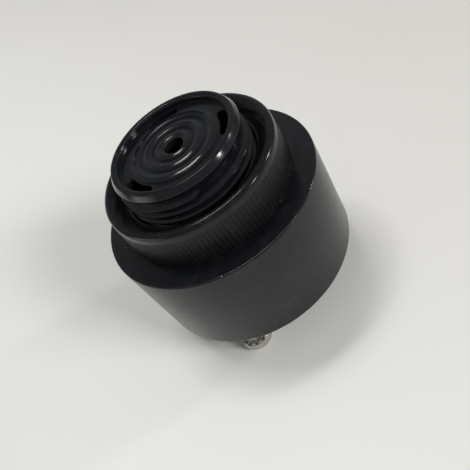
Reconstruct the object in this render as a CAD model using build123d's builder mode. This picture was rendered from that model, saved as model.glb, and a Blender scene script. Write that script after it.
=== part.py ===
from build123d import *
import os
from math import cos, radians, sin, tan

# Panel-mount piezo buzzer, in millimetres. The origin is the centre of the flange face that
# seats against the panel, and +Z runs out of the sounding face.

# Allowances shared by the pieces
overrun = 1.0                 # how far a cutting tool runs past the face that it leaves
embed = 0.3                   # how far an added rib or ridge starts inside its wall

# Drum behind the panel
flange_margin = 4.3           # flange face beyond the ring
drum_draft = 0.45             # smaller at the rear, to leave the mould
drum_depth = 20.2
drum_wall = 1.75              # wall at the rear rim
flange_thickness = 2.4
flange_edge_chamfer = 0.2
drum_edge_chamfer = 0.35

# Threaded bushing with the front lip
bushing_r = 12.05             # plain core that the thread stands on
bushing_wall = 1.15
bushing_height = 13.5
lip_overhang = 0.69           # lip proud of the core
lip_height = 2.0              # down to where the lip steps back
lip_flank_height = 1.2        # sloping side below the top
lip_flank_inset = 0.64        # top edge inside the lip's widest circle
lip_top_round = 0.4
lip_inner_chamfer = 0.5

# Right-hand thread moulded on the bushing
thread_pitch = 1.6
thread_height = 0.85
thread_crest = 0.3            # width of the flat on the crest
thread_flank_angle = 30
thread_drop = 3.35            # ridge's upper end below the top of the lip
thread_low = 1.35             # ridge's lower end above the flange
thread_start_angle = 267

# Ringed sounding face inside the lip
face_drop = 1.05              # crests below the top of the lip
face_thickness = 1.6
sound_hole_r = 1.88
crest_count = 3
hole_cut_share = 0.2          # of the first wave, that the hole takes away
crest_width_share = 0.1       # of the pitch
valley_width_share = 0.3      # of the pitch
wave_depth = 0.3
arc_slot_width = 1.7
arc_slot_inset = 0.2          # from the wall of the bushing
arc_slot_land = 0.15          # between the last wave and the slots
arc_slot_span = 28            # between the centres of its round ends
arc_slot_angles = (83, 203, 341)

# Knurled ring that clamps the panel
ring_wall = 4.15
ring_height = 8.6
ring_running_clearance = 0.15
ring_top_round = 0.45
ring_mouth_share = 0.69       # of the wall, that the inner bevel takes at the top
ring_bevel_depth = 2.3
ring_bevel_foot = 0.5         # step between the bevel and the bore
knurl_count = 120
knurl_depth = 0.2
knurl_width_share = 0.72      # share of the pitch that a groove takes
plain_band = 1.8              # left smooth above the grooves

# Diaphragm bonded to a ring behind the flange
seat_depth = 2.2
seat_width = 1.85
adhesive_thickness = 0.15
adhesive_margin = 0.3
plate_clearance = 1.8         # inside the drum's wall
plate_thickness = 0.3
ceramic_share = 0.718         # of the plate's radius
ceramic_thickness = 0.25
electrode_margin = 0.8        # bare rim of ceramic
electrode_thickness = 0.05
tongue_width = 3.2            # feedback electrode
tongue_length = 5.0
tongue_gap = 0.6

# Circuit board on ledges in the drum
component_space = 6.05        # between the diaphragm and the board
board_thickness = 1.6
board_clearance = 0.3
ledge_count = 4
ledge_width = 3.0
ledge_reach = 1.2

# Rear cover with its terminal bosses and board posts
cover_thickness = 2.4
cover_recess = 0.6            # cover inside the rear rim
cover_clearance = 0.05
cover_shoulder = 0.5
boss_r = 3.3
boss_height = 1.2
board_post_width = 2.4

# Screw terminals
terminal_inset = 3.5          # from the rim of the cover
terminal_angle = 234
terminal_signs = ("plus", "minus")
post_r = 2.6
post_length = 4.8             # behind the boss
stem_r = 2.0
stem_clearance = 0.05
tail_width = 1.5              # square tail through the board
tail_clearance = 0.1
tail_proud = 0.6
screw_r = 1.7
screw_clearance = 0.05
screw_reach = 3.8             # shank inside the post
screw_hole_spare = 0.8
head_r = 3.25
head_height = 2.4
head_chamfer = 0.8
slot_width = 0.9
slot_depth = 1.1
washer_thickness = 0.5
washer_r = 3.1
washer_root_r = 2.5
washer_clearance = 0.15
washer_teeth = 12
washer_tooth_share = 0.55     # share of the pitch that a tooth takes

# Electronic components on the front of the board
lead_r = 0.28
resistor_r = 0.9
resistor_length = 3.6
resistor_span = 6.6
resistor_stand = 0.3          # clear of the board
diode_r = 1.2
diode_length = 4.4
diode_span = 8.0
transistor_r = 2.35
transistor_flat = 1.3         # flat face from the centre
transistor_height = 4.0
transistor_stand = 0.5
transistor_lead_pitch = 1.27
transistor_lead_width = 0.45
capacitor_r = 2.2
capacitor_height = 4.2
capacitor_chamfer = 0.4

# Places of the components: a share of the board's radius, and an angle
transistor_place_share = 0.405
transistor_place_angle = 195
capacitor_place_share = 0.46
capacitor_place_angle = 300
resistor_place_share = 0.62
resistor_place_angles = {"base_resistor": 95, "bias_resistor": 45, "load_resistor": 145}
diode_place_share = 0.57
diode_place_angle = 240

# Insulated wires from the board to the diaphragm
wire_r = 0.4
drive_wire_place_share = 0.263    # of the electrode's radius
drive_wire_angle = 240
ground_wire_angle = 330
tongue_angle = 15             # direction of the feedback electrode

# Heights and radii that follow from the values above
bore_r = bushing_r - bushing_wall
thread_r = bushing_r + thread_height
thread_top = bushing_height - thread_drop
thread_turns = (thread_top - thread_low) / thread_pitch
lip_r = bushing_r + lip_overhang
lip_top_r = lip_r - lip_flank_inset
lip_flank_z = bushing_height - lip_flank_height
lip_neck_z = bushing_height - lip_height
face_z = bushing_height - face_drop
face_rear_z = face_z - face_thickness
valley_z = face_z - wave_depth
arc_slot_r = bore_r - arc_slot_inset - arc_slot_width / 2
wave_end_r = arc_slot_r - arc_slot_width / 2 - arc_slot_land
wave_pitch = (wave_end_r - sound_hole_r) / (crest_count - hole_cut_share)
ring_bore_r = thread_r + ring_running_clearance
ring_r = ring_bore_r + ring_wall
ring_mouth_r = ring_bore_r + ring_mouth_share * ring_wall
flange_r = ring_r + flange_margin
drum_rear_r = flange_r - drum_draft
cover_seat_r = drum_rear_r - drum_wall
cavity_r = cover_seat_r - cover_shoulder
cover_rear_z = cover_recess - drum_depth
cover_front_z = cover_rear_z + cover_thickness
seat_r = bore_r + seat_width
seat_z = -flange_thickness - seat_depth
plate_r = cavity_r - plate_clearance
ceramic_r = ceramic_share * plate_r
plate_front_z = seat_z - adhesive_thickness
plate_rear_z = plate_front_z - plate_thickness
ceramic_rear_z = plate_rear_z - ceramic_thickness
electrode_rear_z = ceramic_rear_z - electrode_thickness
electrode_r = ceramic_r - electrode_margin
board_front_z = electrode_rear_z - component_space
board_rear_z = board_front_z - board_thickness
board_r = cavity_r - board_clearance
ledge_first_angle = terminal_angle + 180 / ledge_count
terminal_pitch_r = cover_seat_r - terminal_inset
boss_z = cover_rear_z - boss_height
post_end_z = boss_z - post_length
head_seat_z = post_end_z - washer_thickness
board_post_place_r = board_r - board_post_width / 2
tail_hole = tail_width + 2 * tail_clearance


def save(piece, name):
    """Label a finished piece and write it as its own file."""
    piece.part.label = name
    export_step(piece.part, f"parts/{name}.step")


def terminal_places():
    """Both terminals, opposite each other on their pitch circle."""
    return PolarLocations(terminal_pitch_r, len(terminal_signs), terminal_angle)


def upright_plane(radius, angle, turn, height):
    """Plane that stands on the board at a place: local X lies along the board, local Y is up."""
    place = (radius * cos(radians(angle)), radius * sin(radians(angle)), height)
    along = (cos(radians(turn)), sin(radians(turn)), 0)
    return Plane(origin=place, x_dir=along, z_dir=(along[1], -along[0], 0))


os.makedirs("parts", exist_ok=True)

# Thread ridge, swept up its helix and turned so that its upper end is at the start angle
thread_foot = thread_crest / 2 + (thread_height + embed) * tan(radians(thread_flank_angle))
with BuildPart() as thread:
    with BuildLine() as helix:
        Helix(thread_pitch, thread_top - thread_low, bushing_r, center=(0, 0, thread_low))
    with BuildSketch(Plane(helix.line @ 0, x_dir=(1, 0, 0), z_dir=helix.line % 0)) as ridge:
        with BuildLine():
            Polyline(
                (-embed, -thread_foot),
                (thread_height, -thread_crest / 2),
                (thread_height, thread_crest / 2),
                (-embed, thread_foot),
                close=True,
            )
        make_face()
    sweep(path=helix.line, is_frenet=True)

# Housing: drum, flange, bushing and face moulded as one
with BuildPart() as housing:
    with BuildSketch(Plane.XZ) as shell:
        with BuildLine():
            Polyline(
                (bore_r, bushing_height),
                (lip_top_r, bushing_height),
                (lip_r, lip_flank_z),
                (lip_r, lip_neck_z),
                (bushing_r, lip_neck_z - lip_overhang),
                (bushing_r, 0),
                (flange_r, 0),
                (drum_rear_r, -drum_depth),
                (cover_seat_r, -drum_depth),
                (cover_seat_r, cover_front_z),
                (cavity_r, cover_front_z),
                (cavity_r, -flange_thickness),
                (seat_r, -flange_thickness),
                (seat_r, seat_z),
                (bore_r, seat_z),
                close=True,
            )
        make_face()
        chamfer(shell.vertices().group_by(Axis.Y)[-1].sort_by(Axis.X)[0], lip_inner_chamfer)
        fillet(shell.vertices().group_by(Axis.Y)[-1].sort_by(Axis.X)[-1], lip_top_round)
        chamfer(shell.vertices().sort_by(Axis.X)[-1], flange_edge_chamfer)
        chamfer(shell.vertices().group_by(Axis.Y)[0].sort_by(Axis.X)[-1], drum_edge_chamfer)
    revolve(axis=Axis.Z)

    # Face with its hole and concentric waves, level from the last wave to the wall
    crest_half = crest_width_share * wave_pitch / 2
    slope_half = (1 - valley_width_share) * wave_pitch / 2
    wave_points = []
    for index in range(crest_count):
        middle = wave_end_r - (crest_count - index) * wave_pitch + wave_pitch / 2
        wave_points += [
            (max(middle - slope_half, sound_hole_r), valley_z),
            (middle - crest_half, face_z),
            (middle + crest_half, face_z),
            (middle + slope_half, valley_z),
        ]
    with BuildSketch(Plane.XZ):
        with BuildLine():
            Polyline(
                (sound_hole_r, face_rear_z),
                *wave_points,
                (bore_r + embed, valley_z),
                (bore_r + embed, face_rear_z),
                close=True,
            )
        make_face()
    revolve(axis=Axis.Z)

    # Arc slots through the level part
    with BuildSketch(Plane.XY.offset(valley_z + overrun)):
        for middle_angle in arc_slot_angles:
            with BuildLine(mode=Mode.PRIVATE) as slot_path:
                CenterArc((0, 0), arc_slot_r, middle_angle - arc_slot_span / 2, arc_slot_span)
            SlotArc(slot_path.edge(), arc_slot_width)
    extrude(amount=face_rear_z - valley_z - 2 * overrun, mode=Mode.SUBTRACT)

    # Ledges down the inside of the drum that the board rests on
    ledge_length = ledge_reach + embed
    with BuildSketch(Plane.XY.offset(board_front_z)):
        with PolarLocations(cavity_r + embed - ledge_length / 2, ledge_count, ledge_first_angle):
            Rectangle(ledge_length, ledge_width)
    extrude(amount=-board_front_z - flange_thickness + embed)

    add(thread.part, rotation=(0, 0, thread_start_angle - 360 * thread_turns))
save(housing, "housing")

# Knurled ring, bored to run over the thread's crest
knurl_half = knurl_width_share * ring_r * radians(180 / knurl_count)
with BuildPart() as ring_nut:
    with BuildSketch(Plane.XZ) as ring_section:
        with BuildLine():
            Polyline(
                (ring_bore_r, 0),
                (ring_r, 0),
                (ring_r, ring_height),
                (ring_mouth_r, ring_height),
                (ring_bore_r + ring_bevel_foot, ring_height - ring_bevel_depth),
                (ring_bore_r, ring_height - ring_bevel_depth),
                close=True,
            )
        make_face()
        fillet(ring_section.vertices().group_by(Axis.Y)[-1].sort_by(Axis.X)[-1], ring_top_round)
    revolve(axis=Axis.Z)
    with BuildSketch(Plane.XY.offset(-overrun)):
        with PolarLocations(ring_r, knurl_count):
            Polygon(
                (-knurl_depth, 0),
                (knurl_depth, -2 * knurl_half),
                (knurl_depth, 2 * knurl_half),
                align=None,
            )
    extrude(amount=ring_height - plain_band + overrun, mode=Mode.SUBTRACT)
save(ring_nut, "ring_nut")

# Rear cover, seated on the shoulder inside the rim
with BuildPart() as rear_cover:
    with BuildSketch(Plane.XY.offset(cover_front_z)):
        Circle(cover_seat_r - cover_clearance)
    extrude(amount=-cover_thickness)
    with BuildSketch(Plane.XY.offset(cover_rear_z)):
        with terminal_places():
            Circle(boss_r)
    extrude(amount=-boss_height)
    with BuildSketch(Plane.XY.offset(board_rear_z)):
        with PolarLocations(board_post_place_r, ledge_count, ledge_first_angle):
            Rectangle(board_post_width, board_post_width)
    extrude(amount=cover_front_z - board_rear_z)
    with BuildSketch(Plane.XY.offset(cover_front_z + overrun)):
        with terminal_places():
            Circle(stem_r + stem_clearance)
    extrude(amount=boss_z - cover_front_z - 2 * overrun, mode=Mode.SUBTRACT)
save(rear_cover, "rear_cover")

# Screw terminals: a turned post from the board to the rear, a toothed washer and a slotted screw
screw_hole_r = screw_r + screw_clearance
screw_top_z = post_end_z + screw_reach
tooth_length = washer_r - washer_root_r + embed
tooth_width = washer_tooth_share * washer_r * radians(360 / washer_teeth)
head_end_z = head_seat_z - head_height
for index, sign in enumerate(terminal_signs):
    angle = terminal_angle + index * 360 / len(terminal_signs)
    section = upright_plane(terminal_pitch_r, angle, angle, 0)
    centre_line = Axis(section.origin, (0, 0, 1))
    with BuildPart() as post:
        with BuildSketch(section):
            with BuildLine():
                Polyline(
                    (0, board_rear_z),
                    (stem_r, board_rear_z),
                    (stem_r, boss_z),
                    (post_r, boss_z),
                    (post_r, post_end_z),
                    (screw_hole_r, post_end_z),
                    (screw_hole_r, screw_top_z + screw_hole_spare),
                    (0, screw_top_z + screw_hole_spare),
                    close=True,
                )
            make_face()
        revolve(axis=centre_line)
        with BuildSketch(Plane(section.origin + (0, 0, board_rear_z))):
            Rectangle(tail_width, tail_width)
        extrude(amount=board_thickness + tail_proud)
    save(post, f"terminal_post_{sign}")

    with BuildPart() as washer:
        with BuildSketch(Plane(section.origin + (0, 0, post_end_z))):
            RegularPolygon(washer_root_r, 2 * washer_teeth)
            with PolarLocations(washer_r - tooth_length / 2, washer_teeth):
                Rectangle(tooth_length, tooth_width)
            Circle(screw_r + washer_clearance, mode=Mode.SUBTRACT)
        extrude(amount=-washer_thickness)
    save(washer, f"lock_washer_{sign}")

    with BuildPart() as screw:
        with BuildSketch(section) as screw_section:
            with BuildLine():
                Polyline(
                    (0, screw_top_z),
                    (screw_r, screw_top_z),
                    (screw_r, head_seat_z),
                    (head_r, head_seat_z),
                    (head_r, head_end_z),
                    (0, head_end_z),
                    close=True,
                )
            make_face()
            chamfer(screw_section.vertices().group_by(Axis.Y)[0].sort_by(Axis.X)[-1], head_chamfer)
        revolve(axis=centre_line)
        with BuildSketch(Plane(section.origin + (0, 0, head_end_z))):
            Rectangle(2 * (head_r + overrun), slot_width)
        extrude(amount=slot_depth, mode=Mode.SUBTRACT)
    save(screw, f"terminal_screw_{sign}")

# Diaphragm stack: adhesive ring, brass plate, ceramic disc and its two silver electrodes
with BuildPart() as adhesive_ring:
    with BuildSketch(Plane.XY.offset(seat_z)):
        Circle(seat_r - adhesive_margin)
        Circle(bore_r + adhesive_margin, mode=Mode.SUBTRACT)
    extrude(amount=-adhesive_thickness)
save(adhesive_ring, "adhesive_ring")

with BuildPart() as piezo_plate:
    with BuildSketch(Plane.XY.offset(plate_front_z)):
        Circle(plate_r)
    extrude(amount=-plate_thickness)
save(piezo_plate, "piezo_plate")

with BuildPart() as piezo_ceramic:
    with BuildSketch(Plane.XY.offset(plate_rear_z)):
        Circle(ceramic_r)
    extrude(amount=-ceramic_thickness)
save(piezo_ceramic, "piezo_ceramic")

tongue_root_r = electrode_r - tongue_length
with BuildPart() as drive_electrode:
    with BuildSketch(Plane.XY.offset(ceramic_rear_z)):
        Circle(electrode_r)
        with PolarLocations(tongue_root_r + electrode_r / 2, 1, tongue_angle):
            Rectangle(electrode_r, tongue_width + 2 * tongue_gap, mode=Mode.SUBTRACT)
    extrude(amount=-electrode_thickness)
save(drive_electrode, "drive_electrode")

with BuildPart() as feedback_electrode:
    with BuildSketch(Plane.XY.offset(ceramic_rear_z)):
        Circle(electrode_r)
        with PolarLocations(tongue_root_r + tongue_gap + electrode_r / 2, 1, tongue_angle):
            Rectangle(electrode_r, tongue_width, mode=Mode.INTERSECT)
    extrude(amount=-electrode_thickness)
save(feedback_electrode, "feedback_electrode")

# Circuit board between the ledges and the cover's posts
with BuildPart() as circuit_board:
    with BuildSketch(Plane.XY.offset(board_front_z)):
        Circle(board_r)
        with terminal_places():
            Rectangle(tail_hole, tail_hole, rotation=-terminal_angle, mode=Mode.SUBTRACT)
    extrude(amount=-board_thickness)
save(circuit_board, "circuit_board")


def axial_component(radius, angle, body_r, body_length, span):
    """Round body lying across the board on one bent lead."""
    plane = upright_plane(radius, angle, angle + 90, board_front_z)
    axis_height = resistor_stand + body_r
    with BuildPart() as piece:
        with BuildLine(plane) as lead:
            Polyline(
                (-span / 2, 0),
                (-span / 2, axis_height),
                (span / 2, axis_height),
                (span / 2, 0),
            )
        with BuildSketch(Plane(lead.line @ 0, z_dir=lead.line % 0)):
            Rectangle(2 * lead_r, 2 * lead_r)
        sweep(path=lead.line, transition=Transition.RIGHT)
        body_end = plane.from_local_coords((-body_length / 2, axis_height, 0))
        with BuildSketch(Plane(body_end, z_dir=plane.x_dir)):
            Circle(body_r)
        extrude(amount=body_length)
    return piece


resistor_place_r = resistor_place_share * board_r
for name, angle in resistor_place_angles.items():
    save(axial_component(resistor_place_r, angle, resistor_r, resistor_length, resistor_span), name)
diode_place_r = diode_place_share * board_r
save(axial_component(diode_place_r, diode_place_angle, diode_r, diode_length, diode_span), "polarity_diode")

# Transistor: a round body with one flat, on three legs
transistor_place_r = transistor_place_share * board_r
transistor_foot = upright_plane(transistor_place_r, transistor_place_angle, 0, board_front_z).origin
with BuildPart() as transistor:
    with BuildSketch(Plane(transistor_foot + (0, 0, transistor_stand))):
        Circle(transistor_r)
        with Locations((transistor_flat - transistor_r, 0)):
            Rectangle(2 * transistor_r, 2 * transistor_r, mode=Mode.INTERSECT)
    extrude(amount=transistor_height)
    with BuildSketch(Plane(transistor_foot)):
        with GridLocations(transistor_lead_pitch, transistor_lead_pitch, 1, 3):
            Rectangle(transistor_lead_width, transistor_lead_width)
    extrude(amount=transistor_stand + embed)
save(transistor, "transistor")

capacitor_place_r = capacitor_place_share * board_r
capacitor_foot = upright_plane(capacitor_place_r, capacitor_place_angle, 0, board_front_z).origin
with BuildPart() as filter_capacitor:
    with BuildSketch(Plane(capacitor_foot)):
        Circle(capacitor_r)
    extrude(amount=capacitor_height)
    chamfer(filter_capacitor.edges().sort_by(Axis.Z)[-1], capacitor_chamfer)
save(filter_capacitor, "filter_capacitor")


def wire(radius, angle, top_z):
    """Insulated wire from the back of the diaphragm straight down to the board."""
    with BuildPart() as piece:
        with BuildSketch(Plane.XY.offset(board_front_z)):
            with PolarLocations(radius, 1, angle):
                Circle(wire_r)
        extrude(amount=top_z - board_front_z)
    return piece


drive_wire_place_r = drive_wire_place_share * electrode_r
tongue_middle_r = electrode_r - (tongue_length - tongue_gap) / 2
bare_plate_middle_r = (plate_r + ceramic_r) / 2
save(wire(drive_wire_place_r, drive_wire_angle, electrode_rear_z), "drive_wire")
save(wire(tongue_middle_r, tongue_angle, electrode_rear_z), "feedback_wire")
save(wire(bare_plate_middle_r, ground_wire_angle, plate_rear_z), "ground_wire")
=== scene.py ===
"""Dress a panel-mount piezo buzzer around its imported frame: moulded housing, knurled clamp ring,
rear cover, screw terminals, the pieces sealed inside, and a plain studio."""

from math import ceil, cos, pi, radians, sin, tan

import bmesh
import bpy
from bpy.props import FloatProperty, FloatVectorProperty, IntProperty, PointerProperty
from mathutils import Matrix, Vector


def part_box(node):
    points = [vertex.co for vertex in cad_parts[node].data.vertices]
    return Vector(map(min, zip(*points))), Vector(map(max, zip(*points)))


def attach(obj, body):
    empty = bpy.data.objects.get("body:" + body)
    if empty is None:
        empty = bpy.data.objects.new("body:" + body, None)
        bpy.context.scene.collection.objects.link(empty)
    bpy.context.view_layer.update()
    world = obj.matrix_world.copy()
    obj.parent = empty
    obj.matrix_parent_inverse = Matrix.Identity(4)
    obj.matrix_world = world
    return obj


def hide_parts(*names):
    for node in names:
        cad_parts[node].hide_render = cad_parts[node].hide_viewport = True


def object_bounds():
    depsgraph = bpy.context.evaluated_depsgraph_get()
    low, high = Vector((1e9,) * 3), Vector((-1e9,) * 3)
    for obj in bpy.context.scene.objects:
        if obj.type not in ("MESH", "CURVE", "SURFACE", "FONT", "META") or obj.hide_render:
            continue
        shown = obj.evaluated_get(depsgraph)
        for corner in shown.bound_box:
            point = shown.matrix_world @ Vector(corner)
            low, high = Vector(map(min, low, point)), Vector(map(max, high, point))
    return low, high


bl_info = {
    "name": "Panel Buzzer",
    "version": (1, 0, 0),
    "blender": (4, 5, 0),
    "location": "View3D > Sidebar > Buzzer",
    "description": "Dresses a panel-mount piezo buzzer around its packed frame",
    "category": "Object",
}

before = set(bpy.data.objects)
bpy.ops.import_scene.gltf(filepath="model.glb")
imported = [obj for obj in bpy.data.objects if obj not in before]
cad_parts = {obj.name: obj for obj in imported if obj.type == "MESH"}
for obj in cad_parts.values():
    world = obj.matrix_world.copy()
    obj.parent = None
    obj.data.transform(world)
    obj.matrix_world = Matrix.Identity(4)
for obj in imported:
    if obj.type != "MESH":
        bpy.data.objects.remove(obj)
cad_low, cad_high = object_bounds()

MM = 0.001
SAME_PLACE = 0.001 * MM
SHARP_EDGE = radians(42)
FIXED_BODY = "buzzer"
RING_BODY = "ring"
TERMINAL_SIGNS = ("plus", "minus")

housing_low, housing_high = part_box("housing")
_, ring_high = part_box("ring_nut")
cover_low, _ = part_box("rear_cover")
_, board_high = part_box("circuit_board")


# Sizes and colours that a user would change

def length(name, description, default):
    """A length in metres, shown in the scene's own unit."""
    return FloatProperty(
        name=name, description=description, default=default,
        unit="LENGTH", subtype="DISTANCE", precision=5,
    )


def angle(name, description, default):
    """An angle, given in degrees and kept in radians."""
    return FloatProperty(
        name=name, description=description, default=radians(default), subtype="ANGLE",
    )


def colour(name, description, default):
    """A colour in linear light."""
    return FloatVectorProperty(
        name=name, description=description, default=default, subtype="COLOR", size=3, min=0, max=1,
    )


def share(name, description, default):
    """A share from 0 to 1."""
    return FloatProperty(
        name=name, description=description, default=default, min=0, max=1, subtype="FACTOR",
    )


class HousingSizes(bpy.types.PropertyGroup):
    """Sizes of the moulded housing."""

    flange_radius: length("Flange Radius", "Radius of the flange face", housing_high.x)
    drum_depth: length("Drum Depth", "From the flange face to the rear rim", -housing_low.z)
    drum_draft: length("Drum Draft", "How much smaller the drum is at its rear", 0.45 * MM)
    drum_wall: length("Drum Wall", "Wall at the rear rim", 1.75 * MM)
    flange_thickness: length("Flange Thickness", "Thickness of the flange", 2.4 * MM)
    flange_round: length("Flange Round", "Rounding of the flange's edge", 0.32 * MM)
    rim_round: length("Rim Round", "Rounding of the rear rim", 0.35 * MM)
    bushing_radius: length("Bushing Radius", "Core that the thread stands on", 12.05 * MM)
    bushing_wall: length("Bushing Wall", "Wall of the bushing", 1.15 * MM)
    bushing_height: length("Bushing Height", "From the flange face to the lip", housing_high.z)
    lip_overhang: length("Lip Overhang", "Lip proud of the core", 0.69 * MM)
    lip_height: length("Lip Height", "Down to where the lip steps back", 2.0 * MM)
    flank_height: length("Flank Height", "Height of the lip's sloping side", 1.2 * MM)
    flank_inset: length("Flank Inset", "Lip's top edge inside its widest circle", 0.64 * MM)
    flank_round: length("Flank Round", "Rounding at the lip's widest circle", 0.3 * MM)
    lip_tuck: length("Lip Tuck", "How far the lip draws in below its widest circle", 0.24 * MM)
    lip_round: length("Lip Round", "Rounding of the lip's outer top edge", 0.42 * MM)
    bore_round: length("Bore Round", "Rounding of the lip's inner edge", 0.58 * MM)
    corner_round: length("Corner Round", "Rounding of the small moulded corners", 0.15 * MM)
    thread_pitch: length("Thread Pitch", "Rise of the thread in one turn", 1.6 * MM)
    thread_height: length("Thread Height", "Height of the ridge", 0.85 * MM)
    thread_crest: length("Thread Crest", "Width of the ridge's crest", 0.3 * MM)
    thread_flank: angle("Thread Flank", "Slope of the ridge's flanks", 30)
    thread_round: length("Thread Round", "Rounding of the ridge's crest", 0.12 * MM)
    thread_drop: length("Thread Drop", "Upper end of the ridge below the lip", 3.35 * MM)
    thread_low: length("Thread Low", "Lower end of the ridge above the flange", 1.35 * MM)
    thread_start: angle("Thread Start", "Direction of the ridge's upper end", 267)
    thread_fade: angle("Thread Fade", "Turn over which an end of the ridge dies out", 9)
    seat_depth: length("Seat Depth", "Diaphragm seat behind the flange", 2.2 * MM)
    seat_width: length("Seat Width", "Width of the diaphragm seat", 1.85 * MM)
    shoulder: length("Shoulder", "Step that the rear cover rests on", 0.5 * MM)
    ledge_count: IntProperty(name="Ledge Count", description="Ledges under the board", default=4)
    ledge_width: length("Ledge Width", "Width of a ledge", 3.0 * MM)
    ledge_reach: length("Ledge Reach", "How far a ledge stands in from the wall", 1.2 * MM)
    ledge_first: angle("First Ledge", "Direction of the first ledge", 279)


class FaceSizes(bpy.types.PropertyGroup):
    """Sizes of the ringed sounding face."""

    drop: length("Drop", "Crests below the top of the lip", 1.05 * MM)
    thickness: length("Thickness", "Thickness of the face at a crest", 1.6 * MM)
    hole_radius: length("Hole Radius", "Radius of the sound hole", 1.88 * MM)
    hole_round: length("Hole Round", "Rounding of the hole's rim", 0.12 * MM)
    crest_count: IntProperty(name="Crest Count", description="Rings round the hole", default=3)
    hole_cut: share("Hole Cut", "Share of the first wave that the hole takes away", 0.2)
    wave_depth: length("Wave Depth", "Valleys below the crests", 0.3 * MM)
    crest_round: length("Crest Round", "Half width of a crest's rounding", 0.09 * MM)
    slot_width: length("Slot Width", "Width of an arc slot", 1.7 * MM)
    slot_inset: length("Slot Inset", "From the bushing's wall to a slot", 0.2 * MM)
    slot_land: length("Slot Land", "Between the last wave and a slot", 0.15 * MM)
    slot_span: angle("Slot Span", "Between the centres of a slot's round ends", 28)
    slot_edge: length("Slot Edge", "Softened rim of a slot", 0.12 * MM)
    foot_round: length("Foot Round", "Rounding where the face meets the bushing", 0.06 * MM)
    slot_angles: FloatVectorProperty(
        name="Slot Angles", description="Directions of the slots' middles",
        default=(radians(83), radians(203), radians(341)), subtype="EULER", size=3,
    )


class RingSizes(bpy.types.PropertyGroup):
    """Sizes of the knurled clamp ring."""

    radius: length("Radius", "Outer radius over the knurl", ring_high.x)
    height: length("Height", "Height of the ring", ring_high.z)
    bore_radius: length("Bore Radius", "Radius of the bore, clear of the thread", 13.05 * MM)
    top_round: length("Top Round", "Rounding of the outer top edge", 1.0 * MM)
    mouth_radius: length("Mouth Radius", "Top edge of the inner bevel", 15.91 * MM)
    bevel_depth: length("Bevel Depth", "Depth of the inner bevel", 2.3 * MM)
    bevel_foot: length("Bevel Foot", "Step between the bevel and the bore", 0.5 * MM)
    corner_round: length("Corner Round", "Rounding of the other edges", 0.14 * MM)
    plain_band: length("Plain Band", "Smooth band above the knurl", 1.8 * MM)
    knurl_count: IntProperty(name="Knurl Count", description="Grooves round the ring", default=120)
    knurl_depth: length("Knurl Depth", "Depth of a groove", 0.14 * MM)
    knurl_width: share("Knurl Width", "Share of the pitch that a groove takes", 0.72)
    knurl_fade: length("Knurl Fade", "Height over which a groove runs out", 0.9 * MM)
    thread_depth: length("Thread Depth", "Depth of the thread inside the bore", 0.45 * MM)


class CoverSizes(bpy.types.PropertyGroup):
    """Sizes of the rear cover and of the raised polarity marks on it."""

    thickness: length("Thickness", "Thickness of the cover", 2.4 * MM)
    boss_height: length("Boss Height", "Terminal bosses behind the cover", 1.2 * MM)
    span: length("Span", "Length of a bar", 2.6 * MM)
    width: length("Width", "Width of a bar", 0.62 * MM)
    height: length("Height", "How far a mark stands out", 0.22 * MM)
    place: length("Place", "From the axis to a mark", 9.6 * MM)
    edge: length("Edge", "Softened edge of a mark", 0.08 * MM)


class FinishColours(bpy.types.PropertyGroup):
    """Colours of the finishes."""

    housing: colour("Housing", "Black moulded housing", (0.0050, 0.0055, 0.0070))
    ring: colour("Ring", "Black clamp ring", (0.0046, 0.0050, 0.0058))
    dust: colour("Dust", "Dust specks and scuffs", (0.42, 0.42, 0.40))
    plating: colour("Plating", "Plated terminals", (0.60, 0.59, 0.53))
    floor: colour("Floor", "Pale studio floor", (0.83, 0.822, 0.795))


class StageSizes(bpy.types.PropertyGroup):
    """Camera and floor of the studio."""

    image_size: IntProperty(name="Image Size", description="Side of the square picture", default=470)
    focal_pixels: FloatProperty(name="Focal Pixels", description="Focal length in pixels", default=600)
    view_tilt: angle("View Tilt", "Camera's direction from the axis", 51.83)
    view_roll: angle("View Roll", "Camera's roll", -36.64)
    view_distance: length("View Distance", "Camera to the flange's centre", 112.4 * MM)
    centre_column: FloatProperty(
        name="Centre Column", description="Column of the flange's centre in the picture", default=206.8,
    )
    centre_row: FloatProperty(
        name="Centre Row", description="Row of the flange's centre in the picture", default=190.2,
    )
    floor_radius: length("Floor Radius", "Radius of the floor", 0.4)


SETTINGS = {
    "buzzer_housing": HousingSizes,
    "buzzer_face": FaceSizes,
    "buzzer_ring": RingSizes,
    "buzzer_cover": CoverSizes,
    "buzzer_colours": FinishColours,
    "buzzer_stage": StageSizes,
}


# Shader maths

class Value:
    """One output of a node. Sums with it add the Math nodes that work them out."""

    def __init__(self, graph, socket):
        self.graph = graph
        self.socket = socket

    def other(self, name):
        """Another output of the same node."""
        return Value(self.graph, self.socket.node.outputs[name])

    def __add__(self, other):
        return self.graph.math("ADD", self, other)

    def __radd__(self, other):
        return self.graph.math("ADD", other, self)

    def __sub__(self, other):
        return self.graph.math("SUBTRACT", self, other)

    def __rsub__(self, other):
        return self.graph.math("SUBTRACT", other, self)

    def __mul__(self, other):
        return self.graph.math("MULTIPLY", self, other)

    def __rmul__(self, other):
        return self.graph.math("MULTIPLY", other, self)

    def __gt__(self, other):
        return self.graph.math("GREATER_THAN", self, other)

    def __lt__(self, other):
        return self.graph.math("LESS_THAN", self, other)


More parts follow.
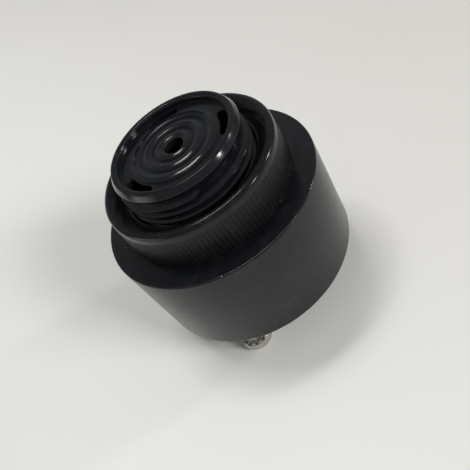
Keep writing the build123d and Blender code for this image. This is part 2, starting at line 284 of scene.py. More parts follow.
class Graph:
    """A node tree that is built up by expressions."""

    def __init__(self, tree):
        tree.nodes.clear()
        self.tree = tree

    def node(self, kind, settings=None, sockets=None, output=0):
        """A new node with its settings, then the values or links of its sockets."""
        made = self.tree.nodes.new("ShaderNode" + kind)
        for name, value in (settings or {}).items():
            setattr(made, name, value)
        for name, value in (sockets or {}).items():
            if isinstance(value, Value):
                self.tree.links.new(value.socket, made.inputs[name])
            else:
                made.inputs[name].default_value = value
        return Value(self, made.outputs[output]) if made.outputs else made

    def math(self, operation, *values):
        return self.node("Math", {"operation": operation}, dict(enumerate(values)))

    def step(self, value, low, high):
        """Smooth step of a value from 0 at low to 1 at high."""
        sockets = {"Value": value, "From Min": low, "From Max": high}
        return self.node("MapRange", {"interpolation_type": "SMOOTHSTEP"}, sockets)

    def mix(self, factor, first, second):
        """Colour between two colours."""
        sockets = {0: factor, 6: first, 7: second}
        return self.node("Mix", {"data_type": "RGBA"}, sockets, 2)

    def noise(self, place, grain, detail=2.0):
        """Noise whose grain is a length in metres."""
        sockets = {"Vector": place, "Scale": 1 / grain, "Detail": detail}
        return self.node("TexNoise", None, sockets)

    def stretched(self, place, scales):
        """Coordinates stretched along each axis."""
        return self.node("VectorMath", {"operation": "MULTIPLY"}, {0: place, 1: scales})

    def bump(self, height, distance, strength=1.0):
        """Normal from a height that spans the given distance."""
        sockets = {"Height": height, "Distance": distance, "Strength": strength}
        return self.node("Bump", None, sockets)


def opaque(rgb):
    """A colour with full alpha."""
    return (*rgb, 1.0)


class Finish(Graph):
    """A material under way: its graph, and its coordinates in the frame."""

    def __init__(self, name):
        self.material = bpy.data.materials.new(name)
        self.material.use_nodes = True
        super().__init__(self.material.node_tree)
        self.place = self.node("TexCoord").other("Object")

    def surface(self, **sockets):
        """Close the material with its shader. Names of sockets have underscores for spaces."""
        named = {name.replace("_", " "): value for name, value in sockets.items()}
        shader = self.node("BsdfPrincipled", None, named)
        self.node("OutputMaterial", None, {"Surface": shader})
        return self.material

    def specks(self, cell, size, kept):
        """Mask of sparse round specks: one in each cell, of which a share is kept."""
        sockets = {"Vector": self.place, "Scale": 1 / cell}
        distance = self.node("TexVoronoi", None, sockets)
        chance = self.node("SeparateColor", None, {"Color": distance.other("Color")})
        core = SPECK_CORE * size / cell
        return (1 - self.step(distance, core, size / cell)) * (chance > 1 - kept)

    def scratches(self, spacing, turn, width):
        """Mask of long thin scratches that run one way and break off."""
        turned = self.node("VectorRotate", {"rotation_type": "AXIS_ANGLE"},
                           {"Vector": self.place, "Axis": SCRATCH_AXIS, "Angle": turn})
        lines = self.noise(self.stretched(turned, SCRATCH_STRETCH), spacing, 1.0)
        thin = 1 - self.step(self.math("ABSOLUTE", lines - 0.5), 0, width)
        breaks = self.noise(self.place, SCRATCH_RUN * spacing)
        return thin * self.step(breaks, *SCRATCH_BREAKS)


# Finishes

# Masks of specks and scratches
SPECK_CORE = 0.4                      # solid part of a speck
SCRATCH_AXIS = (0.3, 0.2, 1.0)
SCRATCH_STRETCH = (1.0, 0.04, 0.3)    # long on the second axis
SCRATCH_RUN = 6                       # spacings between the breaks
SCRATCH_BREAKS = (0.56, 0.66)

# Black plastic: grain of each mark, then how much of it shows
SMEAR_GRAIN = 7 * MM
HAZE_GRAIN = 2.6 * MM
HAZE_EDGES = (0.5, 0.75)
MOULD_GRAIN = 0.16 * MM
MOULD_RELIEF = 0.004 * MM
DUST_SPECKS = ((3.1 * MM, 0.13 * MM, 0.3), (1.3 * MM, 0.06 * MM, 0.2))    # cell, size, share kept
SCUFFS = (2.2 * MM, 0.5, 0.012)       # spacing, turn, width
SCUFF_COVER = 0.03
HAZE_COVER = 0.012
MARK_COVER = 0.75
SMEAR_ROUGHNESS = 0.4
HAZE_ROUGHNESS = 0.03
MARK_ROUGHNESS = 0.4
DUST_RELIEF = 2
HOUSING_REFRACTION = 1.42
RING_REFRACTION = 1.36

# Plating
TURNED_STRETCH = (1, 1, 12)
TURNED_GRAIN = 0.5 * MM
TURNED_RELIEF = 0.01 * MM
TARNISH_GRAIN = 1.7 * MM
TARNISH_EDGES = (0.45, 0.75)
TARNISH_SHADE = 0.62
TARNISH_COVER = 0.6

# Patches of two colours
PATCH_EDGES = (0.35, 0.65)
PATCH_FINE = 0.12                     # fine grain as a share of the patches
PATCH_RELIEF = 0.006 * MM


def moulded_black(name, rgb, dust_rgb, zones, refraction=HOUSING_REFRACTION):
    """Black moulded plastic. A zone is a lowest height, a highest height and the roughness there."""
    made = Finish(name)
    height = made.node("SeparateXYZ", None, {"Vector": made.place}).other("Z")
    rough = 0.0
    for low, high, value in zones:
        rough = (height > low) * (height < high) * value + rough
    smear = made.noise(made.place, SMEAR_GRAIN, 3.0)
    grain = made.noise(made.place, MOULD_GRAIN, 2.0)
    haze = made.step(made.noise(made.place, HAZE_GRAIN, 4.0), *HAZE_EDGES)
    dust = made.math("MAXIMUM", *(made.specks(*kind) for kind in DUST_SPECKS))
    marks = made.math("MAXIMUM", dust, made.scratches(*SCUFFS) * SCUFF_COVER)
    base = made.mix(haze * HAZE_COVER, opaque(rgb), opaque(dust_rgb))
    uneven = rough * (1 - SMEAR_ROUGHNESS / 2 + smear * SMEAR_ROUGHNESS)
    return made.surface(
        Base_Color=made.mix(marks * MARK_COVER, base, opaque(dust_rgb)),
        Roughness=uneven + haze * HAZE_ROUGHNESS + marks * MARK_ROUGHNESS,
        Normal=made.bump(grain + dust * DUST_RELIEF, MOULD_RELIEF, 0.6),
        IOR=refraction,
    )


def plated_metal(name, rgb):
    """Bright plating with turned lines and a little tarnish."""
    made = Finish(name)
    lines = made.noise(made.stretched(made.place, TURNED_STRETCH), TURNED_GRAIN, 3.0)
    tarnish = made.step(made.noise(made.place, TARNISH_GRAIN, 4.0), *TARNISH_EDGES)
    dull = tuple(TARNISH_SHADE * part for part in rgb)
    return made.surface(
        Base_Color=made.mix(tarnish * TARNISH_COVER, opaque(rgb), opaque(dull)),
        Metallic=1.0,
        Roughness=0.24 + tarnish * 0.16 + (lines - 0.5) * 0.12,
        Normal=made.bump(lines, TURNED_RELIEF, 0.5),
    )


def mottled(name, first, second, grain, rough, metallic=0.0):
    """A material that varies between two colours in patches of the given grain."""
    made = Finish(name)
    patches = made.noise(made.place, grain, 4.0)
    fine = made.noise(made.place, PATCH_FINE * grain, 2.0)
    return made.surface(
        Base_Color=made.mix(made.step(patches, *PATCH_EDGES), opaque(first), opaque(second)),
        Metallic=metallic,
        Roughness=rough + (fine - 0.5) * 0.18,
        Normal=made.bump(fine, PATCH_RELIEF, 0.6),
    )


# Mesh tools

def rounded_outline(corners, steps=6):
    """Closed outline through corners given as radius, height and rounding."""
    points = []
    for index, (radius, height, rounding) in enumerate(corners):
        corner = Vector((radius, height))
        before = Vector(corners[index - 1][:2]) - corner
        after = Vector(corners[(index + 1) % len(corners)][:2]) - corner
        if not rounding:
            points.append(corner)
            continue
        half = before.angle(after) / 2
        before.normalize()
        after.normalize()
        middle = corner + (before + after).normalized() * rounding / sin(half)
        first = corner + before * rounding / tan(half) - middle
        last = corner + after * rounding / tan(half) - middle
        sweep = pi - 2 * half
        for step in range(steps + 1):
            part = step / steps
            turned = first * sin((1 - part) * sweep) + last * sin(part * sweep)
            points.append(middle + turned / sin(sweep))
    return points


def with_rows(outline, radius, low, high, spacing):
    """Outline with evenly spaced points added on its straight wall at a radius, between two heights."""
    rows = ceil((high - low) / spacing)
    points = []
    for index, point in enumerate(outline):
        points.append(point)
        following = outline[(index + 1) % len(outline)]
        if any(abs(end.x - radius) >= SAME_PLACE for end in (point, following)):
            continue
        heights = [low + (high - low) * row / rows for row in range(rows + 1)]
        bottom, top = sorted((point.y, following.y))
        inside = [height for height in heights if bottom < height < top]
        if following.y < point.y:
            inside.reverse()
        points += [Vector((radius, height)) for height in inside]
    return points


BAR_EDGE = radians(50)


class Islands:
    """Vertices and faces of one mesh, gathered island by island."""

    def __init__(self):
        self.points = []
        self.faces = []

    def turn(self, outline, columns, radius_at=None):
        """Turn a closed outline about the axis. radius_at may move a point: radius, height, angle."""
        start = len(self.points)
        rows = len(outline)
        for column in range(columns):
            around = 2 * pi * column / columns
            for point in outline:
                radius = radius_at(point.x, point.y, around) if radius_at else point.x
                self.points.append((radius * cos(around), radius * sin(around), point.y))
        for column in range(columns):
            here = start + column * rows
            there = start + (column + 1) % columns * rows
            for row in range(rows):
                after = (row + 1) % rows
                self.faces.append((here + row, here + after, there + after, there + row))

    def block(self, inner, outer, width, low, high, around):
        """Square bar that lies along a radius, from an inner to an outer radius."""
        start = len(self.points)
        turn = Matrix.Rotation(around, 3, "Z")
        for height in (low, high):
            for along, across in ((inner, -1), (outer, -1), (outer, 1), (inner, 1)):
                self.points.append(turn @ Vector((along, across * width / 2, height)))
        self.faces.append(tuple(start + corner for corner in (3, 2, 1, 0)))
        self.faces.append(tuple(start + corner for corner in (4, 5, 6, 7)))
        for corner in range(4):
            after = (corner + 1) % 4
            self.faces.append((start + corner, start + after, start + after + 4, start + corner + 4))

    def prism(self, outline, low, high):
        """Upright prism over an outline in plan."""
        start = len(self.points)
        count = len(outline)
        for height in (low, high):
            self.points += [(point.x, point.y, height) for point in outline]
        self.faces.append(tuple(start + corner for corner in reversed(range(count))))
        self.faces.append(tuple(start + count + corner for corner in range(count)))
        for corner in range(count):
            after = (corner + 1) % count
            above = start + count
            self.faces.append((start + corner, start + after, above + after, above + corner))

    def sweep(self, sections):
        """Skin over closed sections in order, with both ends closed."""
        start = len(self.points)
        count = len(sections[0])
        last = start + (len(sections) - 1) * count
        for section in sections:
            self.points += section
        for here in range(start, last, count):
            for corner in range(count):
                after = (corner + 1) % count
                there = here + count
                self.faces.append((here + corner, here + after, there + after, there + corner))
        self.faces.append(tuple(start + corner for corner in reversed(range(count))))
        self.faces.append(tuple(last + corner for corner in range(count)))

    def mesh(self, name, edge=0.0):
        """Mesh of all the islands, with its sharp edges softened by a bevel where asked."""
        made = bpy.data.meshes.new(name)
        work = bmesh.new()
        points = [work.verts.new(point) for point in self.points]
        for face in self.faces:
            work.faces.new([points[corner] for corner in face])
        bmesh.ops.recalc_face_normals(work, faces=work.faces)
        if edge:
            sharp = [side for side in work.edges if side.calc_face_angle(0) > BAR_EDGE]
            bmesh.ops.bevel(work, geom=sharp, offset=edge, segments=3, profile=0.5, affect="EDGES")
        work.to_mesh(made)
        work.free()
        return shaded(made)


def shaded(mesh):
    """The mesh with smooth shading, broken at its sharp edges."""
    mesh.shade_smooth()
    mesh.set_sharp_from_angle(angle=SHARP_EDGE)
    return mesh


def arc_slot(radius, width, middle, span, steps=24):
    """Outline in plan of a slot that runs round the axis and has round ends."""
    points = []
    for side, first, last in ((1, -1, 1), (-1, 1, -1)):
        for step in range(steps + 1):
            around = middle + span / 2 * (first + (last - first) * step / steps)
            points.append(Vector((cos(around), sin(around))) * (radius + side * width / 2))
        end = middle + span / 2 * last
        centre = Vector((cos(end), sin(end))) * radius
        for step in range(1, steps // 2):
            turn = end + pi * step / (steps // 2)
            if side < 0:
                turn += pi
            points.append(centre + Vector((cos(turn), sin(turn))) * width / 2)
    return points


RIM_EDGE = radians(60)


def carved(mesh, cutter, rim, edge):
    """The mesh less a closed cutter, with the new rim at a height softened."""
    pair = [bpy.data.objects.new(item.name, item) for item in (mesh, cutter)]
    for item in pair:
        bpy.context.scene.collection.objects.link(item)
    cut = pair[0].modifiers.new("cut", "BOOLEAN")
    cut.object = pair[1]
    cut.solver = "EXACT"
    graph = bpy.context.evaluated_depsgraph_get()
    made = bpy.data.meshes.new_from_object(pair[0].evaluated_get(graph))
    for item in pair:
        bpy.data.objects.remove(item)
    work = bmesh.new()
    work.from_mesh(made)
    level = edge / 8
    sides = [
        side for side in work.edges
        if side.calc_face_angle(0) > RIM_EDGE
        and all(abs(end.co.z - rim) < level for end in side.verts)
    ]
    bmesh.ops.bevel(work, geom=sides, offset=edge, segments=2, profile=0.5, affect="EDGES")
    work.to_mesh(made)
    work.free()
    return made


def joined(name, meshes):
    """One mesh of several."""
    work = bmesh.new()
    for mesh in meshes:
        work.from_mesh(mesh)
    made = bpy.data.meshes.new(name)
    work.to_mesh(made)
    work.free()
    return shaded(made)


def place_piece(name, mesh, body, material):
    """A new piece that rides on a body and takes the finish it is given."""
    piece = bpy.data.objects.new(name, mesh)
    bpy.context.scene.collection.objects.link(piece)
    piece.data.materials.append(material)
    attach(piece, body)
    return piece


def dress_node(name, material):
    """Give a kept node its finish."""
    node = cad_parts[name]
    node.data.materials.clear()
    node.data.materials.append(material)
    return node


FLAT_WITHIN = radians(0.4)
ROUNDED_EDGE = radians(40)


def soften_edges(node, edge, join_flats=True):
    """Round a kept node's sharp edges with modifiers, and leave its own mesh as it is.

    A flat with two holes in it stays in triangles, because a joined face folds over itself there.
    """
    node.data.shade_smooth()
    weld = node.modifiers.new("close_seams", "WELD")
    weld.merge_threshold = SAME_PLACE / 2
    if join_flats:
        flat = node.modifiers.new("join_flats", "DECIMATE")
        flat.decimate_type = "DISSOLVE"
        flat.angle_limit = FLAT_WITHIN
    bevel = node.modifiers.new("round_edges", "BEVEL")
    bevel.width = edge
    bevel.segments = 3
    bevel.limit_method = "ANGLE"
    bevel.angle_limit = ROUNDED_EDGE
    bevel.use_clamp_overlap = False
    bevel.harden_normals = True
    return node


def thread_run(sizes):
    """Height of the ridge's upper end, and its number of turns."""
    top = sizes.bushing_height - sizes.thread_drop
    return top, (top - sizes.thread_low) / sizes.thread_pitch


def thread_rise(sizes, travelled, turns):
    """Share of the ridge's height after some turns, as it dies out at both ends."""
    fade = sizes.thread_fade / (2 * pi)
    end = min(travelled / fade, (turns - travelled) / fade, 1)
    return end * end * (3 - 2 * end)


def ridge_height(sizes, height, around):
    """Share of the thread's full height at a place on the bushing."""
    top, turns = thread_run(sizes)
    crest = sizes.thread_crest / 2
    foot = crest + sizes.thread_height * tan(sizes.thread_flank)
    phase = (sizes.thread_start - around) / (2 * pi) % 1
    lap = round((top - height) / sizes.thread_pitch - phase)
    travelled = phase + lap
    if travelled < 0 or travelled > turns:
        return 0.0
    away = abs(top - travelled * sizes.thread_pitch - height)
    slope = min(max((foot - away) / (foot - crest), 0), 1)
    return slope * thread_rise(sizes, travelled, turns)


# Operators, one for each piece or group of like pieces

class MouldHousing(bpy.types.Operator):
    """Drum, flange, threaded bushing and ringed face, moulded as one"""

    bl_idname = "buzzer.mould_housing"
    bl_label = "Mould Housing"

    columns = 256
    crest_steps = 5
    dish_steps = 9
    embed = 0.3 * MM

    # Roughness of the drum, of the flange face and of the bushing, between heights
    zones = (
        (-1, -0.25 * MM, 0.26),
        (-0.25 * MM, 0.3 * MM, 0.19),
        (0.3 * MM, 1, 0.15),
    )

    def wave(self, sizes, face, bore):
        """Outline of the face from the hole to the last wave's foot: dishes between narrow crests."""
        level = sizes.bushing_height - face.drop
        end = bore - face.slot_inset - face.slot_width - face.slot_land
        half = (end - face.hole_radius) / (face.crest_count - face.hole_cut) / 2
        narrow = face.crest_round
        steep = face.wave_depth / half * (1 - narrow / half)

        def dish(away):
            return face.wave_depth * (1 - (1 - away / half) ** 2)

        def depth(away):
            if away > narrow:
                return dish(away)
            return dish(narrow) - steep * (narrow - away * away / narrow)

        side = [narrow * step / self.crest_steps for step in range(self.crest_steps)]
        side += [narrow + (half - narrow) * step / self.dish_steps for step in range(self.dish_steps)]
        offsets = [-half, *(-away for away in reversed(side[1:])), *side]
        first_crest = end - (2 * face.crest_count - 1) * half
        rim = level - depth(abs(face.hole_radius - first_crest))
        points = [(face.hole_radius, rim, face.hole_round)]
        for index in reversed(range(face.crest_count)):
            middle = end - (2 * index + 1) * half
            points += [
                (middle + away, level - depth(abs(away)), 0)
                for away in offsets if middle + away > face.hole_radius + face.hole_round
            ]
        return [*points, (end, level - face.wave_depth, 0)]

    def section(self, sizes, face, cover):
        """Closed outline of the housing, from the hole over the lip and the drum to the cavity."""
        bore = sizes.bushing_radius - sizes.bushing_wall
        core = sizes.bushing_radius
        lip = core + sizes.lip_overhang
        top = sizes.bushing_height
        neck = top - sizes.lip_height
        face_rear = top - face.drop - face.thickness
        rear = sizes.flange_radius - sizes.drum_draft
        opening = rear - sizes.drum_wall
        cavity = opening - sizes.shoulder
        seat = bore + sizes.seat_width
        seat_height = -sizes.flange_thickness - sizes.seat_depth
        shoulder_height = cover_low.z + cover.boss_height + cover.thickness
        corner = sizes.corner_round
        return rounded_outline((
            (face.hole_radius, face_rear, 0),
            *self.wave(sizes, face, bore),
            (bore, top - face.drop - face.wave_depth, face.foot_round),
            (bore, top, sizes.bore_round),
            (lip - sizes.flank_inset, top, sizes.lip_round),
            (lip, top - sizes.flank_height, sizes.flank_round),
            (lip - sizes.lip_tuck, neck, corner),
            (core, neck - sizes.lip_overhang, corner),
            (core, 0, corner),
            (sizes.flange_radius, 0, sizes.flange_round),
            (rear, -sizes.drum_depth, sizes.rim_round),
            (opening, -sizes.drum_depth, corner),
            (opening, shoulder_height, 0),
            (cavity, shoulder_height, corner),
            (cavity, -sizes.flange_thickness, corner),
            (seat, -sizes.flange_thickness, corner),
            (seat, seat_height, corner),
            (bore, seat_height, corner),
            (bore, face_rear, 0),
        ))

    def thread(self, sizes):
        """Ridge that winds down the bushing from below the lip and dies out at both ends."""
        top, turns = thread_run(sizes)
        crest = sizes.thread_crest / 2
        foot = crest + (sizes.thread_height + self.embed) * tan(sizes.thread_flank)
        outline = rounded_outline((
            (-self.embed, -foot, 0),
            (sizes.thread_height, -crest, sizes.thread_round),
            (sizes.thread_height, crest, sizes.thread_round),
            (-self.embed, foot, 0),
        ))
        steps = ceil(turns * self.columns)
        sections = []
        for step in range(steps + 1):
            travelled = turns * step / steps
            around = sizes.thread_start - 2 * pi * travelled
            rise = thread_rise(sizes, travelled, turns)
            section = []
            for point in outline:
                radius = sizes.bushing_radius + (point.x * rise if point.x > 0 else point.x)
                height = top - travelled * sizes.thread_pitch + point.y
                section.append((radius * cos(around), radius * sin(around), height))
            sections.append(section)
        ridge = Islands()
        ridge.sweep(sections)
        return ridge.mesh("thread_ridge")

    def slots(self, face, bore, floor):
        """Cutters for the arc slots."""
        cutters = Islands()
        radius = bore - face.slot_inset - face.slot_width / 2
        for middle in face.slot_angles:
            outline = arc_slot(radius, face.slot_width, middle, face.slot_span)
            cutters.prism(outline, floor - face.thickness, floor + face.wave_depth)
        return cutters.mesh("slot_cutters")

    def ledges(self, sizes):
        """Ledges down the inside of the drum that the board rests on."""
        made = Islands()
        wall = sizes.flange_radius - sizes.drum_draft - sizes.drum_wall - sizes.shoulder
        for index in range(sizes.ledge_count):
            made.block(
                wall - sizes.ledge_reach, wall + self.embed, sizes.ledge_width,
                board_high.z, -sizes.flange_thickness + self.embed,
                sizes.ledge_first + 2 * pi * index / sizes.ledge_count,
            )
        return made.mesh("board_ledges")

    def execute(self, context):
        sizes = context.scene.buzzer_housing
        face = context.scene.buzzer_face
        colours = context.scene.buzzer_colours
        bore = sizes.bushing_radius - sizes.bushing_wall
        floor = sizes.bushing_height - face.drop - face.wave_depth
        turned = Islands()
        turned.turn(self.section(sizes, face, context.scene.buzzer_cover), self.columns)
        cutters = self.slots(face, bore, floor)
        moulding = carved(turned.mesh("turned_housing"), cutters, floor, face.slot_edge)
        black = moulded_black("housing_black", colours.housing, colours.dust, self.zones)
        mesh = joined("housing_moulding", (moulding, self.thread(sizes), self.ledges(sizes)))
        piece = place_piece("housing_moulding", mesh, FIXED_BODY, black)
        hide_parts("housing")
        return {"FINISHED"}


class TurnRing(bpy.types.Operator):
    """Knurled ring with a bevelled mouth and a threaded bore"""

    bl_idname = "buzzer.turn_ring"
    bl_label = "Turn Clamp Ring"

    columns_per_groove = 6
    thread_rows = 0.1 * MM
    knurl_rows = 0.11 * MM
    knurl_roughness = 0.4
    top_roughness = 0.15

    def execute(self, context):
        sizes = context.scene.buzzer_ring
        housing = context.scene.buzzer_housing
        colours = context.scene.buzzer_colours
        corner = sizes.corner_round
        shelf = sizes.height - sizes.bevel_depth
        knurl_top = sizes.height - sizes.plain_band
        outline = rounded_outline((
            (sizes.bore_radius, 0, corner),
            (sizes.radius, 0, corner),
            (sizes.radius, sizes.height, sizes.top_round),
            (sizes.mouth_radius, sizes.height, corner),
            (sizes.bore_radius + sizes.bevel_foot, shelf, corner),
            (sizes.bore_radius, shelf, corner),
        ))
        outline = with_rows(outline, sizes.bore_radius, 0, shelf, self.thread_rows)
        fade_low = knurl_top - sizes.knurl_fade
        outline = with_rows(outline, sizes.radius, fade_low, knurl_top, self.knurl_rows)

        def radius_at(radius, height, around):
            if abs(radius - sizes.bore_radius) < SAME_PLACE:
                return radius + sizes.thread_depth * ridge_height(housing, height, around)
            if radius < sizes.radius - corner or height > knurl_top:
                return radius
            away = abs(around * sizes.knurl_count / (2 * pi) % 1 - 0.5)
            groove = (1 + cos(pi * min(away / (sizes.knurl_width / 2), 1))) / 2
            rising = min((knurl_top - height) / sizes.knurl_fade, 1)
            return radius - sizes.knurl_depth * groove * rising

        ring = Islands()
        ring.turn(outline, sizes.knurl_count * self.columns_per_groove, radius_at)
        black = moulded_black("ring_black", colours.ring, colours.dust, (
            (-1, knurl_top, self.knurl_roughness),
            (knurl_top, 1, self.top_roughness),
        ), RING_REFRACTION)
        piece = place_piece("clamp_ring", ring.mesh("clamp_ring"), RING_BODY, black)
        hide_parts("ring_nut")
        return {"FINISHED"}


class FinishCover(bpy.types.Operator):
    """Rear cover with softened edges and raised polarity marks"""

    bl_idname = "buzzer.finish_cover"
    bl_label = "Finish Rear Cover"

    edge = 0.16 * MM
    sink = 0.1 * MM
    roughness = 0.42

    def execute(self, context):
        sizes = context.scene.buzzer_cover
        colours = context.scene.buzzer_colours
        zones = ((-1, 1, self.roughness),)
        black = moulded_black("cover_black", colours.housing, colours.dust, zones)
        soften_edges(dress_node("rear_cover", black), self.edge, join_flats=False)
        rear = cover_low.z + sizes.boss_height
        for sign in TERMINAL_SIGNS:
            low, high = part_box(f"terminal_screw_{sign}")
            centre = (low + high) / 2
            around = -Vector((1, 0)).angle_signed(centre.xy)
            mark = Islands()
            half = sizes.span / 2
            mark.block(sizes.place - sizes.width / 2, sizes.place + sizes.width / 2, sizes.span,
                       rear - sizes.height, rear + self.sink, around)
            if sign == "plus":
                for side in (-1, 1):
                    near, far = sorted((side * sizes.width / 2, side * half))
                    mark.block(sizes.place + near, sizes.place + far, sizes.width,
                               rear - sizes.height, rear + self.sink, around)
            place_piece(f"{sign}_mark", mark.mesh(f"{sign}_mark", sizes.edge), FIXED_BODY,
                        black)
        return {"FINISHED"}


class FinishTerminals(bpy.types.Operator):
    """Turned posts, toothed washers and slotted screws"""

    bl_idname = "buzzer.finish_terminals"
    bl_label = "Finish Terminals"

    edges = {"terminal_post": 0.15 * MM, "lock_washer": 0.06 * MM, "terminal_screw": 0.14 * MM}

    def execute(self, context):
        plating = plated_metal("terminal_plating", context.scene.buzzer_colours.plating)
        for kind, edge in self.edges.items():
            for sign in TERMINAL_SIGNS:
                soften_edges(dress_node(f"{kind}_{sign}", plating), edge)
        return {"FINISHED"}


class FinishInside(bpy.types.Operator):
    """Diaphragm, circuit board, components and wires sealed in the drum"""

    bl_idname = "buzzer.finish_inside"
    bl_label = "Finish Inner Pieces"

    # Two colours, the grain of their patches, roughness, and 1 for a metal
    finishes = {
        "silicone": ((0.72, 0.72, 0.70), (0.66, 0.66, 0.63), 1.5 * MM, 0.55),
        "brass": ((0.72, 0.52, 0.20), (0.62, 0.42, 0.15), 3 * MM, 0.3, 1.0),
        "ceramic": ((0.62, 0.58, 0.46), (0.56, 0.52, 0.41), 1 * MM, 0.6),
        "silver": ((0.80, 0.79, 0.76), (0.70, 0.69, 0.66), 1 * MM, 0.4, 1.0),
        "epoxy": ((0.012, 0.012, 0.013), (0.020, 0.020, 0.021), 0.8 * MM, 0.5),
        "lacquer": ((0.56, 0.42, 0.24), (0.50, 0.37, 0.20), 0.6 * MM, 0.35),
        "laminate": ((0.30, 0.21, 0.09), (0.25, 0.17, 0.07), 0.6 * MM, 0.5),
        "sleeve": ((0.02, 0.03, 0.09), (0.03, 0.04, 0.11), 1 * MM, 0.35),
        "red_insulation": ((0.45, 0.02, 0.02), (0.38, 0.02, 0.02), 1 * MM, 0.45),
        "blue_insulation": ((0.02, 0.06, 0.35), (0.02, 0.05, 0.28), 1 * MM, 0.45),
        "black_insulation": ((0.012, 0.012, 0.012), (0.02, 0.02, 0.02), 1 * MM, 0.45),
    }
    nodes = {
        "adhesive_ring": "silicone",
        "piezo_plate": "brass",
        "piezo_ceramic": "ceramic",
        "drive_electrode": "silver",
        "feedback_electrode": "silver",
        "circuit_board": "laminate",
        "transistor": "epoxy",
        "polarity_diode": "epoxy",
        "base_resistor": "lacquer",
        "bias_resistor": "lacquer",
        "load_resistor": "lacquer",
        "filter_capacitor": "sleeve",
        "drive_wire": "red_insulation",
        "feedback_wire": "blue_insulation",
        "ground_wire": "black_insulation",
    }

    def execute(self, context):
        made = {name: mottled(name, *look) for name, look in self.finishes.items()}
        for node, finish in self.nodes.items():
            dress_node(node, made[finish]).data.shade_smooth()
        return {"FINISHED"}


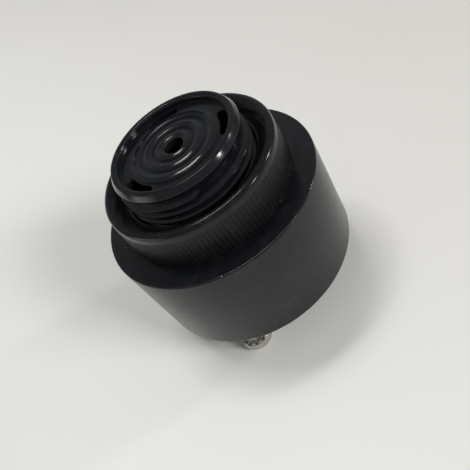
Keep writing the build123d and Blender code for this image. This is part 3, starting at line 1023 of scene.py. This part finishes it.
class SetStage(bpy.types.Operator):
    """Pale floor, dim room, soft lamps and the camera"""

    bl_idname = "buzzer.set_stage"
    bl_label = "Set Stage"

    # Lamps by direction from the object: azimuth, elevation, distance, width, depth, watts, mirrored
    lamps = {
        "lamp_above": (100, 74, 2.50, 0.90, 0.50, 11.5, False),
        "lamp_strip": (92, 78, 2.50, 1.10, 0.20, 13.0, True),
        "lamp_side": (305, 27, 2.40, 0.66, 0.66, 34.0, False),
        "lamp_right": (317, 20, 1.50, 0.15, 0.15, 3.2, True),
        "lamp_far_right": (351, 18, 1.50, 0.15, 0.15, 4.4, True),
    }
    lamp_colour = (1.0, 1.0, 0.98)
    sensor_width = 36

    # Floor; its colour darkens in one direction as painted shade, a stand-in for the falloff of the
    # lamps' light
    floor_sides = 96
    fibre_grain = 0.4 * MM
    cloud_grain = 60 * MM
    cloud_share = 0.15
    painted_shade_towards = radians(15)
    painted_shade_from = -70 * MM
    painted_shade_to = 150 * MM
    painted_shade_shares = (0.735, 0.715, 0.70)

    # Dark opening in the far wall, which the level faces mirror
    dark_towards = radians(94)
    dark_rise = radians(46)
    dark_core = radians(5)
    dark_edge = radians(17)

    # Where the parts of the room begin and end, on a direction of length 1
    left_edges = (0.92, 0.995)
    near_edges = (0.2, 0.6)
    near_rise = (0.5, 0.66)
    beyond_edges = (-0.2, 0.4)
    wall_rise = (0.05, 0.38)

    # Light of the room by direction
    near_horizon = (0.28, 0.28, 0.278, 1)
    far_horizon = (0.14, 0.142, 0.145, 1)
    bright_left = (1.80, 1.80, 1.76, 1)
    far_wall = (0.28, 0.288, 0.298, 1)
    behind_camera = (0.30, 0.30, 0.30, 1)
    opening = (0.03, 0.031, 0.034, 1)

    def towards(self, azimuth, elevation):
        """Unit vector from the object in a direction."""
        level = cos(elevation)
        return Vector((level * cos(azimuth), level * sin(azimuth), sin(elevation)))

    def floor(self, sizes, rgb):
        """Round floor under the lowest point of the object, its colour dimmed along one direction as
        painted shade.
        """
        work = bmesh.new()
        bmesh.ops.create_circle(
            work, cap_ends=True, radius=sizes.floor_radius, segments=self.floor_sides)
        mesh = bpy.data.meshes.new("floor")
        work.to_mesh(mesh)
        work.free()
        piece = bpy.data.objects.new("floor", mesh)
        piece.location.z = cad_low.z
        bpy.context.scene.collection.objects.link(piece)
        made = Finish("floor_paper")
        fibre = made.noise(made.place, self.fibre_grain, 3.0)
        cloud = made.noise(made.place, self.cloud_grain, 2.0)
        # Painted shade: the base colour dims along one direction, standing in for the lamps' falloff;
        # the cloud noise adds random tone to it
        along = made.node("VectorMath", {"operation": "DOT_PRODUCT"},
                          {0: made.place, 1: self.towards(self.painted_shade_towards, 0)}, 1)
        away = made.step(along, self.painted_shade_from, self.painted_shade_to)
        far = away + (cloud - 0.5) * self.cloud_share
        painted_shade_rgb = tuple(kept * part for kept, part in zip(self.painted_shade_shares, rgb))
        piece.data.materials.append(made.surface(
            Base_Color=made.mix(far, opaque(rgb), opaque(painted_shade_rgb)),
            Roughness=0.85 + (fibre - 0.5) * 0.1,
            Normal=made.bump(fibre, 0.01 * MM, 0.3),
        ))

    def room(self):
        """Room that is bright low on the left, dim elsewhere, and dark at the far wall's opening."""
        world = bpy.data.worlds.new("room")
        world.use_nodes = True
        made = Graph(world.node_tree)
        direction = made.node("TexCoord").other("Generated")
        parts = made.node("SeparateXYZ", None, {"Vector": direction})
        rise = parts.other("Z")
        left = made.step(0 - parts.other("X"), *self.left_edges)
        near = made.step(0 - parts.other("Y"), *self.near_edges) * made.step(rise, *self.near_rise)
        beyond = made.step(parts.other("Y"), *self.beyond_edges)
        horizon = made.mix(beyond, self.near_horizon, self.far_horizon)
        low = made.mix(left, horizon, self.bright_left)
        wall = made.mix(made.step(rise, *self.wall_rise), low, self.far_wall)
        pale = made.mix(near, wall, self.behind_camera)
        facing = made.node("VectorMath", {"operation": "DOT_PRODUCT"},
                           {0: direction, 1: self.towards(self.dark_towards, self.dark_rise)}, 1)
        dark = made.step(facing, cos(self.dark_edge), cos(self.dark_core))
        shade = made.mix(dark, pale, self.opening)
        light = made.node("Background", None, {"Color": shade, "Strength": 1.0})
        made.node("OutputWorld", None, {"Surface": light})
        bpy.context.scene.world = world

    def light(self):
        """Soft lamps that face the object."""
        for name, lamp_settings in self.lamps.items():
            azimuth, elevation, distance, width, depth, watts, mirrored = lamp_settings
            lamp = bpy.data.lights.new(name, "AREA")
            lamp.shape = "RECTANGLE"
            lamp.size = width
            lamp.size_y = depth
            lamp.energy = watts
            lamp.color = self.lamp_colour
            towards = self.towards(radians(azimuth), radians(elevation))
            holder = bpy.data.objects.new(name, lamp)
            holder.visible_glossy = mirrored
            holder.location = towards * distance
            holder.rotation_euler = towards.to_track_quat("Z", "Y").to_euler()
            bpy.context.scene.collection.objects.link(holder)

    def camera(self, sizes):
        """Camera at the photograph's angle, with the flange's centre at its place in the frame."""
        data = bpy.data.cameras.new("camera")
        data.sensor_width = self.sensor_width
        data.lens = data.sensor_width * sizes.focal_pixels / sizes.image_size
        data.clip_start = 1 * MM
        back = Vector((0, -sin(sizes.view_tilt), cos(sizes.view_tilt)))
        right = Vector((1, 0, 0))
        axes = Matrix((right, back.cross(right), back))
        axes = Matrix.Rotation(-sizes.view_roll, 3, "Z") @ axes
        middle = sizes.image_size / 2
        aim = Vector((sizes.centre_column - middle, middle - sizes.centre_row, -sizes.focal_pixels))
        axes = Vector((0, 0, -1)).rotation_difference(aim).to_matrix() @ axes
        piece = bpy.data.objects.new("camera", data)
        place = Matrix.Translation(back * sizes.view_distance)
        piece.matrix_world = place @ axes.transposed().to_4x4()
        bpy.context.scene.collection.objects.link(piece)
        bpy.context.scene.camera = piece

    def execute(self, context):
        sizes = context.scene.buzzer_stage
        self.floor(sizes, context.scene.buzzer_colours.floor)
        self.room()
        self.light()
        self.camera(sizes)
        context.scene.view_settings.view_transform = "Standard"
        return {"FINISHED"}


class BuzzerPanel(bpy.types.Panel):
    """Lists the steps that dress the buzzer"""

    bl_idname = "VIEW3D_PT_buzzer"
    bl_label = "Panel Buzzer"
    bl_space_type = "VIEW_3D"
    bl_region_type = "UI"
    bl_category = "Buzzer"

    def draw(self, context):
        for step in STEPS:
            self.layout.operator(step.bl_idname)


STEPS = (MouldHousing, TurnRing, FinishCover, FinishTerminals, FinishInside, SetStage)
CLASSES = (*SETTINGS.values(), *STEPS, BuzzerPanel)


def register():
    for item in CLASSES:
        bpy.utils.register_class(item)
    for name, group in SETTINGS.items():
        setattr(bpy.types.Scene, name, PointerProperty(type=group))


def unregister():
    for name in SETTINGS:
        delattr(bpy.types.Scene, name)
    for item in reversed(CLASSES):
        bpy.utils.unregister_class(item)


def main():
    register()
    bpy.ops.buzzer.mould_housing()
    bpy.ops.buzzer.turn_ring()
    bpy.ops.buzzer.finish_cover()
    bpy.ops.buzzer.finish_terminals()
    bpy.ops.buzzer.finish_inside()
    bpy.ops.buzzer.set_stage()


if __name__ == "__main__":
    main()
